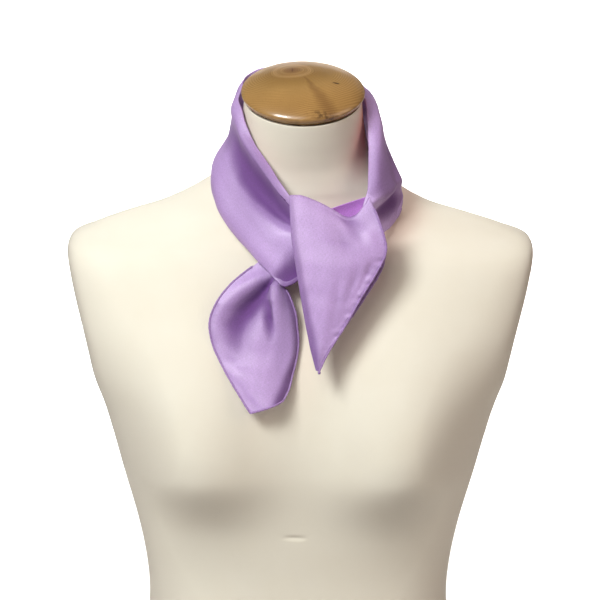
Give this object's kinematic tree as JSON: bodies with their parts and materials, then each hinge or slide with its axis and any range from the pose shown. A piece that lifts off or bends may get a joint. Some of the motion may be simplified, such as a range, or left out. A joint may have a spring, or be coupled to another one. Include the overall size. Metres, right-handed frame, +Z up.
{
  "type": "silk square scarf on a dress form",
  "caption": "Satin silk square folded on its diagonal to a band and tied at the throat of a smooth limbless dress form with a turned wooden neck cap.",
  "frame": {"origin": "middle of the dress form's flat underside, where it stands on a table", "axes": "+Z up the form to the neck cap, -Y out of its chest, where the scarf is tied, and +X to the right of someone who faces the chest"},
  "size_m": [0.399, 0.2329, 0.6618],
  "materials": {
    "jersey": "cream cotton jersey stretched smooth over the form",
    "wood": "clear satin varnish over turned end grain",
    "silk": "violet silk satin with a soft sheen"
  },
  "bodies": {
    "root": {"form_body": "jersey", "neck_cap": "wood", "scarf_right_band": "silk", "scarf_nape": "silk", "scarf_left_band": "silk", "scarf_wrap": "silk", "scarf_front_tail": "silk", "scarf_lower_tail": "silk"}
  },
  "joints": []
}
